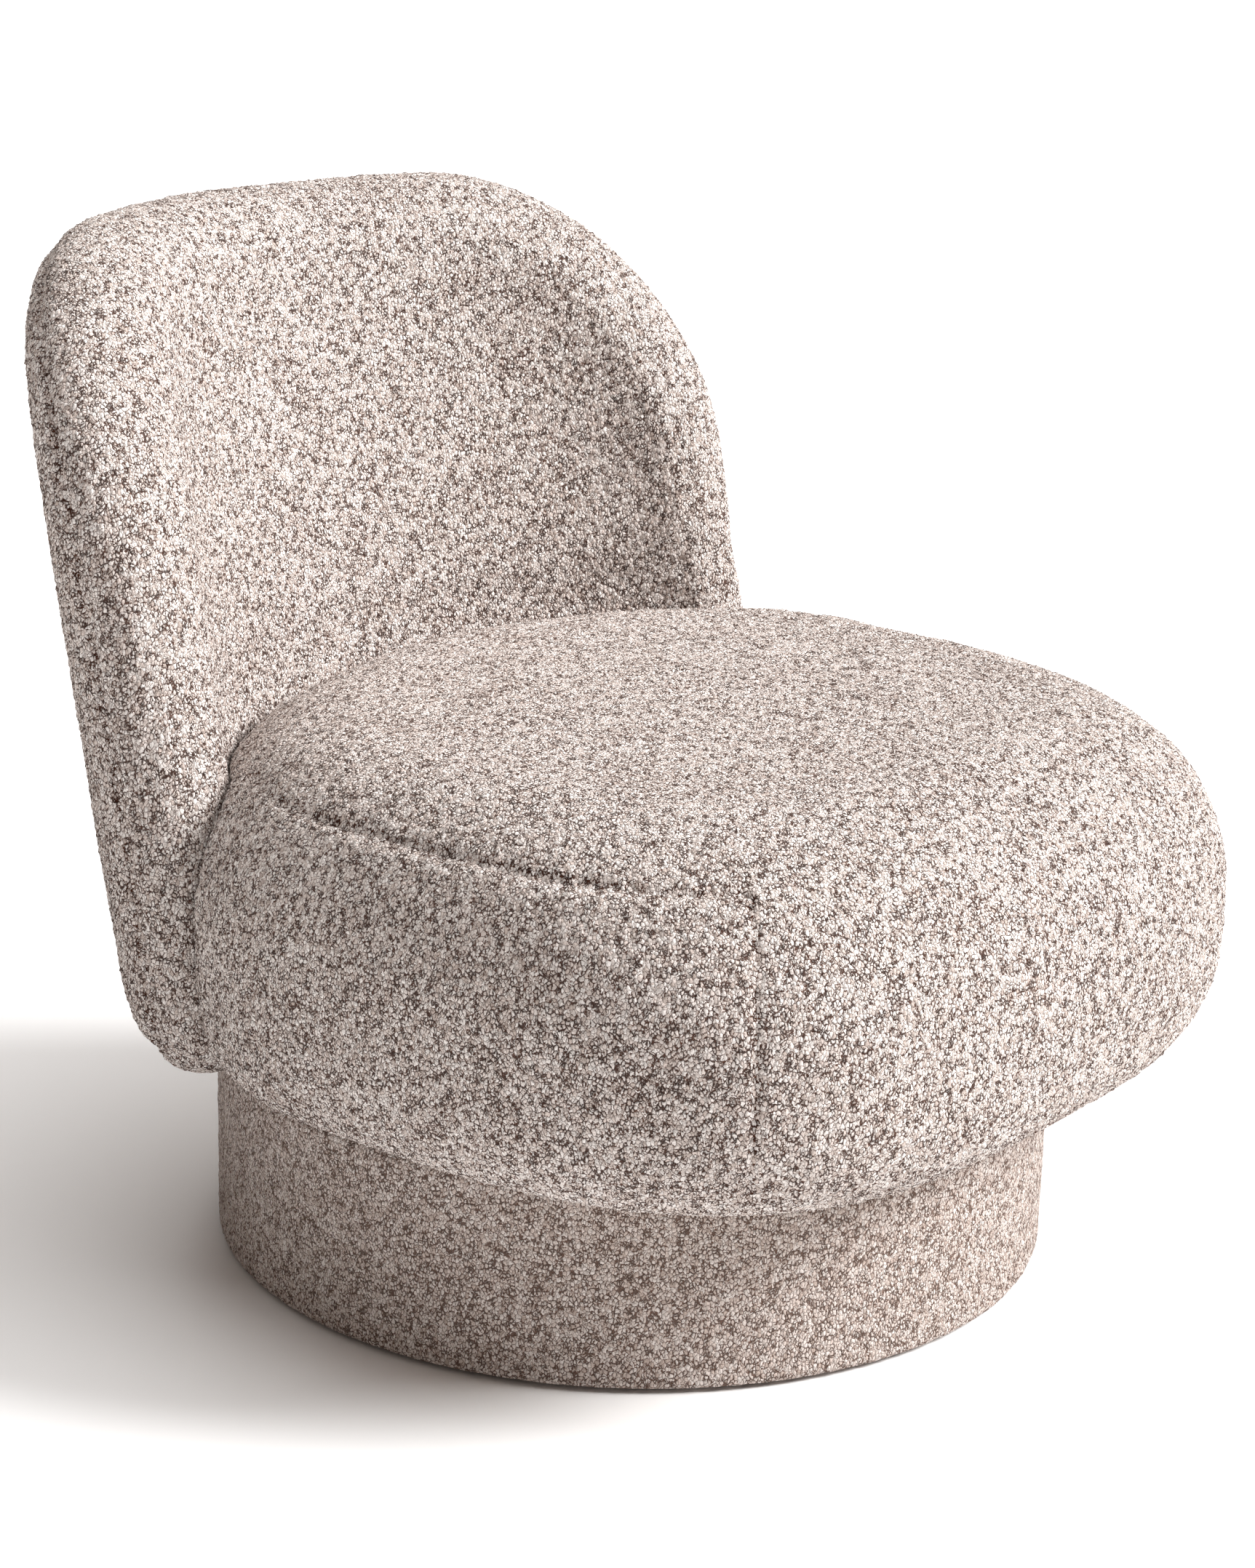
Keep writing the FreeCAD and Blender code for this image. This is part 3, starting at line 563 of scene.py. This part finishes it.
class Value:
    """A number from a socket, which can be used in sums."""

    def __init__(self, maker, socket):
        self.maker, self.socket = maker, socket

    def _do(self, operation, *values, clamped=False):
        node = self.maker.tree.nodes.new("ShaderNodeMath")
        node.operation, node.use_clamp = operation, clamped
        self.maker.place(node)
        for index, value in enumerate(values):
            self.maker.connect(value, node.inputs[index])
        return Value(self.maker, node.outputs[0])

    def __add__(self, other):
        return self._do("ADD", self, other)

    def __radd__(self, other):
        return self._do("ADD", other, self)

    def __sub__(self, other):
        return self._do("SUBTRACT", self, other)

    def __rsub__(self, other):
        return self._do("SUBTRACT", other, self)

    def __mul__(self, other):
        return self._do("MULTIPLY", self, other)

    def __rmul__(self, other):
        return self._do("MULTIPLY", other, self)

    def __truediv__(self, other):
        return self._do("DIVIDE", self, other)

    def clear(self):
        """The value held between 0 and 1."""
        return self._do("ADD", self, 0.0, clamped=True)

    def wave(self):
        return self._do("SINE", self)

    def step(self, low, high):
        """0 below low and 1 above high, smooth between them."""
        node = self.maker.tree.nodes.new("ShaderNodeMapRange")
        node.interpolation_type = "SMOOTHSTEP"
        self.maker.place(node)
        self.maker.connect(self, node.inputs["Value"])
        node.inputs["From Min"].default_value, node.inputs["From Max"].default_value = low, high
        return Value(self.maker, node.outputs["Result"])


class Maker:
    """A material that is written down as sums of textures."""

    def __init__(self, name):
        self.material = bpy.data.materials.new(name)
        self.material.use_nodes = True
        self.tree = self.material.node_tree
        self.tree.nodes.clear()
        self.count = 0
        self.output = self.tree.nodes.new("ShaderNodeOutputMaterial")
        self.shader = self.tree.nodes.new("ShaderNodeBsdfPrincipled")
        self.tree.links.new(self.shader.outputs[0], self.output.inputs["Surface"])

    def place(self, node):
        node.location = (-220 * (self.count // 8) - 300, -170 * (self.count % 8))
        self.count += 1

    def connect(self, value, target):
        if isinstance(value, Value):
            self.tree.links.new(value.socket, target)
        else:
            target.default_value = value

    def node(self, kind, settings=None, **inputs):
        node = self.tree.nodes.new(kind)
        self.place(node)
        for key, value in (settings or {}).items():
            setattr(node, key, value)
        for key, value in inputs.items():
            self.connect(value, node.inputs[key.replace("_", " ")])
        return node

    def coordinates(self):
        return Value(self, self.node("ShaderNodeTexCoord").outputs["Object"])

    def scaled(self, place, size, shift=(0, 0, 0)):
        node = self.node("ShaderNodeMapping", {"vector_type": "POINT"}, Vector=place)
        node.inputs["Scale"].default_value = size
        node.inputs["Location"].default_value = shift
        return Value(self, node.outputs[0])

    def noise(self, place, scale, detail=2.0, rough=0.5):
        node = self.node("ShaderNodeTexNoise", {"noise_dimensions": "3D"}, Vector=place, Scale=scale,
                         Detail=detail, Roughness=rough)
        return Value(self, node.outputs[0])

    def noise_colour(self, place, scale, detail=1.0):
        node = self.node("ShaderNodeTexNoise", {"noise_dimensions": "3D"}, Vector=place, Scale=scale,
                         Detail=detail)
        return Value(self, node.outputs[1])

    def cells(self, place, feature="F1"):
        return self.node("ShaderNodeTexVoronoi", {"feature": feature}, Vector=place, Scale=1.0,
                         Randomness=1.0)

    def mix(self, share, first, second):
        node = self.node("ShaderNodeMix", {"data_type": "RGBA", "blend_type": "MIX"})
        self.connect(share, node.inputs[0])
        self.connect(first, node.inputs[6])
        self.connect(second, node.inputs[7])
        return Value(self, node.outputs[2])

    def shifted(self, place, offset, amount):
        """place + (offset - 0.5) * amount, for a warped texture."""
        centred = self.node("ShaderNodeVectorMath", {"operation": "SUBTRACT"})
        self.connect(offset, centred.inputs[0])
        centred.inputs[1].default_value = (0.5, 0.5, 0.5)
        grown = self.node("ShaderNodeVectorMath", {"operation": "SCALE"})
        self.tree.links.new(centred.outputs[0], grown.inputs[0])
        grown.inputs["Scale"].default_value = amount
        total = self.node("ShaderNodeVectorMath", {"operation": "ADD"})
        self.connect(place, total.inputs[0])
        self.tree.links.new(grown.outputs[0], total.inputs[1])
        return Value(self, total.outputs[0])

    def bump(self, height, distance, strength=1.0, under=None):
        node = self.node("ShaderNodeBump", Height=height, Distance=distance, Strength=strength)
        if under is not None:
            self.tree.links.new(under.socket, node.inputs["Normal"])
        return Value(self, node.outputs[0])

    def finish(self, colour, roughness, normal=None, metallic=0.0, **extra):
        self.connect(colour, self.shader.inputs["Base Color"])
        self.connect(roughness, self.shader.inputs["Roughness"])
        self.connect(metallic, self.shader.inputs["Metallic"])
        if normal is not None:
            self.tree.links.new(normal.socket, self.shader.inputs["Normal"])
        for key, value in extra.items():
            self.shader.inputs[key.replace("_", " ")].default_value = value
        return self.material


def rgb(red, green, blue):
    """A display colour as the linear one that a shader takes."""
    shares = [part / 255 for part in (red, green, blue)]
    return tuple(((c + 0.055) / 1.055) ** 2.4 if c > 0.04045 else c / 12.92 for c in shares) + (1.0,)


def tufted_fabric(name, streak, painted_shade=0.0):
    """Short tufts of pale yarn with dark ground showing between them. streak stretches the tufts; the last
    argument paints shade by darkening and warming the whole colour.
    """
    m = Maker(name)
    place = m.coordinates()
    tuft = m.scaled(place, tuple(TUFTS_PER_METRE / s for s in streak))
    warp = m.noise_colour(tuft, 1.3, 2.0)
    bent_place = m.shifted(tuft, warp, 1.1)
    cells = m.cells(bent_place)
    near = Value(m, cells.outputs["Distance"])
    edge = Value(m, m.cells(bent_place, "DISTANCE_TO_EDGE").outputs["Distance"])
    fibre = m.noise(m.scaled(place, (1500, 1500, 1500)), 1.0, 2.0)
    crowd = m.noise(place, 170.0, 2.0, 0.6)
    drift = m.noise(place, 22.0, 3.0, 0.6)
    slow = m.noise(place, 6.0, 2.0)
    width = 0.045 + crowd.step(0.38, 0.70) * 0.185 + drift.step(0.45, 0.8) * 0.03
    gap = 1.0 - (edge / width + fibre * 0.5).step(0.45, 1.25)
    # The seam attribute carries painted shade along the sunk seam creases
    seam = Value(m, m.node("ShaderNodeAttribute", {"attribute_name": "seam"}).outputs["Fac"])
    parts = m.node("ShaderNodeSeparateColor")
    m.tree.links.new(cells.outputs["Color"], parts.inputs[0])
    each = Value(m, parts.outputs[0])
    pale = m.mix(each, rgb(219, 204, 196), rgb(255, 249, 245))
    brown = m.mix(slow.step(0.35, 0.65), rgb(164, 139, 125), rgb(184, 163, 151))
    yarn = m.mix(each.step(0.86, 0.90) * 0.7, pale, brown)
    toned = m.mix((drift.step(0.45, 0.8) * 0.22).clear(), yarn, rgb(208, 191, 182))
    ground = m.mix(crowd.step(0.3, 0.7), rgb(108, 64, 44), rgb(54, 25, 14))
    # Dark ground between the tufts is the yarn's own colour; the seam term adds painted shade in the seam
    # creases
    shade = (gap * 0.96 + seam * (0.04 + crowd.step(0.35, 0.6) * 0.26)).clear()
    colour = m.mix(shade, toned, ground)
    # Painted shade: the plinth, under the seat's overhang, gets a darker, warmer copy of the same fabric
    if painted_shade:
        colour = m.mix(painted_shade, colour, rgb(176, 150, 135))
    height = (1.0 - near) * 0.8 + (1.0 - gap) * 0.7 + fibre * 0.3
    normal = m.bump(height, 0.0026, 1.0)
    return m.finish(colour, 0.86 + fibre * 0.12, normal, Sheen_Weight=0.10, Sheen_Roughness=0.5,
                    Specular_IOR_Level=0.06, Sheen_Tint=rgb(238, 216, 200))


def wood(name, pale, dark, grain=(1, 1, 1), ring=60.0):
    m = Maker(name)
    place = m.scaled(m.coordinates(), grain)
    fine = m.noise(place, ring * 8, 4.0, 0.6)
    bands = m.noise(place, ring, 3.0)
    streaks = ((bands * 26.0).wave() * 0.5 + 0.5) * 0.7 + fine * 0.3
    colour = m.mix(streaks.clear(), pale, dark)
    normal = m.bump(streaks, 0.0003, 0.4)
    return m.finish(colour, 0.55 + fine * 0.25, normal)


def plywood(name):
    m = Maker(name)
    place = m.coordinates()
    parts = m.node("ShaderNodeSeparateXYZ")
    m.connect(place, parts.inputs[0])
    height = Value(m, parts.outputs[2])
    plies = ((height * 2100.0).wave() * 0.5 + 0.5).step(0.35, 0.65)
    grain = m.noise(m.scaled(place, (14, 160, 160)), 1.0, 4.0)
    face = m.mix(grain, rgb(214, 184, 140), rgb(176, 138, 96))
    colour = m.mix((plies * 0.25).clear(), face, rgb(140, 104, 70))
    return m.finish(colour, 0.6 + grain * 0.2, m.bump(grain, 0.0003, 0.3))


def fibreboard(name):
    m = Maker(name)
    place = m.coordinates()
    specks = m.noise(place, 900.0, 3.0, 0.7)
    soft = m.noise(place, 40.0, 2.0)
    colour = m.mix(specks, rgb(150, 116, 84), rgb(120, 90, 64))
    return m.finish(m.mix((soft * 0.3).clear(), colour, rgb(96, 72, 52)), 0.75 + specks * 0.15,
                    m.bump(specks, 0.0002, 0.4))


def steel(name, colour, rough, worn, metallic=1.0):
    m = Maker(name)
    place = m.coordinates()
    scratches = m.noise(m.scaled(place, (60, 900, 900)), 1.0, 3.0)
    cloud = m.noise(place, 35.0, 3.0)
    tint = m.mix((cloud.step(0.3, 0.8) * 0.5).clear(), colour, worn)
    return m.finish(tint, rough + scratches * 0.22, m.bump(scratches, 0.00008, 0.3), metallic)


def zinc(name):
    m = Maker(name)
    place = m.coordinates()
    flakes = Value(m, m.cells(m.scaled(place, (160, 160, 160))).outputs["Distance"])
    cloud = m.noise(place, 30.0, 2.0)
    colour = m.mix((flakes * 0.7).clear(), rgb(196, 199, 202), rgb(150, 155, 160))
    return m.finish(colour, 0.3 + cloud * 0.2, m.bump(flakes, 0.00006, 0.3), 1.0)


def foam(name, pale, dark):
    m = Maker(name)
    place = m.coordinates()
    pores = Value(m, m.cells(m.scaled(place, (700, 700, 700))).outputs["Distance"])
    cloud = m.noise(place, 20.0, 2.0)
    colour = m.mix((pores * 0.6).clear(), pale, dark)
    return m.finish(m.mix((cloud * 0.2).clear(), colour, dark), 0.9 + cloud * 0.05,
                    m.bump(pores, 0.0005, 0.6))


def non_woven(name, colour, dark):
    """Spun dust-cover cloth with its pattern of small bonded points."""
    m = Maker(name)
    place = m.coordinates()
    threads = m.noise(m.scaled(place, (500, 500, 500)), 1.0, 4.0, 0.7)
    points = Value(m, m.cells(m.scaled(place, (640, 640, 40))).outputs["Distance"])
    tint = m.mix((threads * 0.6).clear(), colour, dark)
    return m.finish(tint, 0.8 + threads * 0.15, m.bump(points.step(0.15, 0.5) + threads * 0.5, 0.0003, 0.5))


def plastic(name, colour, worn):
    m = Maker(name)
    place = m.coordinates()
    grain = m.noise(place, 1600.0, 2.0)
    cloud = m.noise(place, 60.0, 2.0)
    return m.finish(m.mix((cloud * 0.35).clear(), colour, worn), 0.38 + grain * 0.2,
                    m.bump(grain, 0.0001, 0.35))


def felt(name):
    m = Maker(name)
    place = m.coordinates()
    hair = m.noise(m.scaled(place, (300, 300, 900)), 1.0, 5.0, 0.7)
    return m.finish(m.mix(hair, rgb(222, 220, 214), rgb(186, 182, 174)), 0.92 + hair * 0.05,
                    m.bump(hair, 0.0006, 0.6))


FABRIC = tufted_fabric("tufted_fabric", (1.0, 1.0, 1.35))
# Shaded copy of the same fabric for the plinth: painted shade under the seat
FABRIC_PLINTH_SHADED = tufted_fabric("tufted_fabric_plinth_shaded", (1.0, 1.0, 1.35), 0.22)

MATERIALS = {
    "solid_wood": wood("beech", rgb(206, 172, 128), rgb(170, 130, 88), (8, 60, 60), 1.0),
    "plywood": plywood("birch_plywood"),
    "fibreboard": fibreboard("fibreboard"),
    "black_steel": steel("black_steel", rgb(38, 38, 40), 0.42, rgb(58, 57, 56), 0.6),
    "spring_steel": steel("spring_steel", rgb(96, 98, 102), 0.3, rgb(70, 66, 62)),
    "zinc_steel": zinc("zinc_plate"),
    "nylon": plastic("nylon", rgb(46, 46, 48), rgb(66, 66, 68)),
    "dust_cloth": non_woven("dust_cloth", rgb(34, 34, 36), rgb(52, 52, 54)),
    "foam": foam("foam", rgb(236, 226, 196), rgb(208, 192, 150)),
    "felt_wadding": felt("wadding"),
    "upholstery_fabric": FABRIC,
}


for entry in frame["record"]["subparts"]:
    hidden = frame["nodes"][entry["node"]]
    for place in hidden.material_slots:
        place.material = MATERIALS[entry["material_slot"]]


def dress(piece, material):
    piece.data.materials.clear()
    piece.data.materials.append(material)
    only(piece)
    bpy.ops.object.shade_smooth()


for piece, material in ((seat, FABRIC), (back, FABRIC), (plinth, FABRIC_PLINTH_SHADED)):
    dress(piece, material)

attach(seat, "seat")
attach(back, "seat")
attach(plinth, "base")
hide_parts("seat_top_cover", "seat_left_cover", "seat_right_cover", "seat_foam", "spring_pad")
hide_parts("inside_back_cover", "outside_back_cover", "back_inner_foam", "back_outer_foam")
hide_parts("plinth_cover", "plinth_wadding")
for cloth, body, node, holder, across, along in (
        (seat_cloth, "seat", "seat_dust_cloth", "seat_board", 0.57, 0.57),
        (base_cloth, "base", "plinth_dust_cloth", "plinth_bottom_ring", base_edge * 2, base_edge * 2)):
    dress(cloth, MATERIALS["dust_cloth"])
    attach(cloth, body)
    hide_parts(node)


# Floor, lights and camera

def studio():
    floor_maker = Maker("pale_floor")
    soft = floor_maker.noise(floor_maker.coordinates(), 3.0, 2.0)
    floor_maker.finish(floor_maker.mix((soft * 0.1).clear(), rgb(255, 255, 255), rgb(250, 250, 250)), 0.9)
    floor = placed(bpy.ops.mesh.primitive_plane_add, "floor", size=300.0, location=(0, 0, 0))
    floor.data.materials.append(floor_maker.material)
    world = bpy.data.worlds.new("studio")
    world.use_nodes = True
    sky = world.node_tree.nodes["Background"]
    sky.inputs[0].default_value = (1.0, 0.87, 0.78, 1)
    sky.inputs[1].default_value = 0.20
    bpy.context.scene.world = world
    bpy.context.scene.view_settings.view_transform = "Standard"

    def lamp(name, place, power, spread, colour=(1, 1, 1)):
        """A broad distant lamp that shines from place towards the chair."""
        bpy.ops.object.light_add(type="SUN", location=place)
        light = bpy.context.object
        light.name = name
        light.data.energy, light.data.angle, light.data.color = power, math.radians(spread), colour
        light.rotation_euler = (-Vector(place)).to_track_quat("-Z", "Y").to_euler()

    lamp("key_light", (1.60, -2.15, 1.9), 5.15, 24)
    lamp("top_light", (0.45, 0.1, 3.0), 1.95, 50)


def camera():
    pitch, roll, around = 0.29912, -0.02785, 0.90865
    across, ahead = Vector((1, 0, 0)), Vector((0, math.cos(pitch), -math.sin(pitch)))
    down = Vector((0, -math.sin(pitch), -math.cos(pitch)))
    right = across * math.cos(roll) + down * math.sin(roll)
    lower = across * -math.sin(roll) + down * math.cos(roll)

    def turned(v):
        return Vector((v.x * math.cos(around) + v.y * math.sin(around),
                       -v.x * math.sin(around) + v.y * math.cos(around), v.z))

    right, lower, ahead = turned(right), turned(lower), turned(ahead)
    data = bpy.data.cameras.new("camera")
    eye = bpy.data.objects.new("camera", data)
    bpy.context.scene.collection.objects.link(eye)
    data.sensor_fit = "HORIZONTAL"
    data.sensor_width = 36.0
    data.lens = 5000.0 / 1725.0 * 36.0
    data.clip_start, data.clip_end = 0.05, 60.0
    matrix = Matrix((right, -lower, -ahead)).transposed().to_4x4()
    matrix.translation = Vector((-1.98813, -1.53751 + AXIS_Y, 1.10921))
    eye.matrix_world = matrix
    bpy.context.scene.camera = eye


studio()
camera()
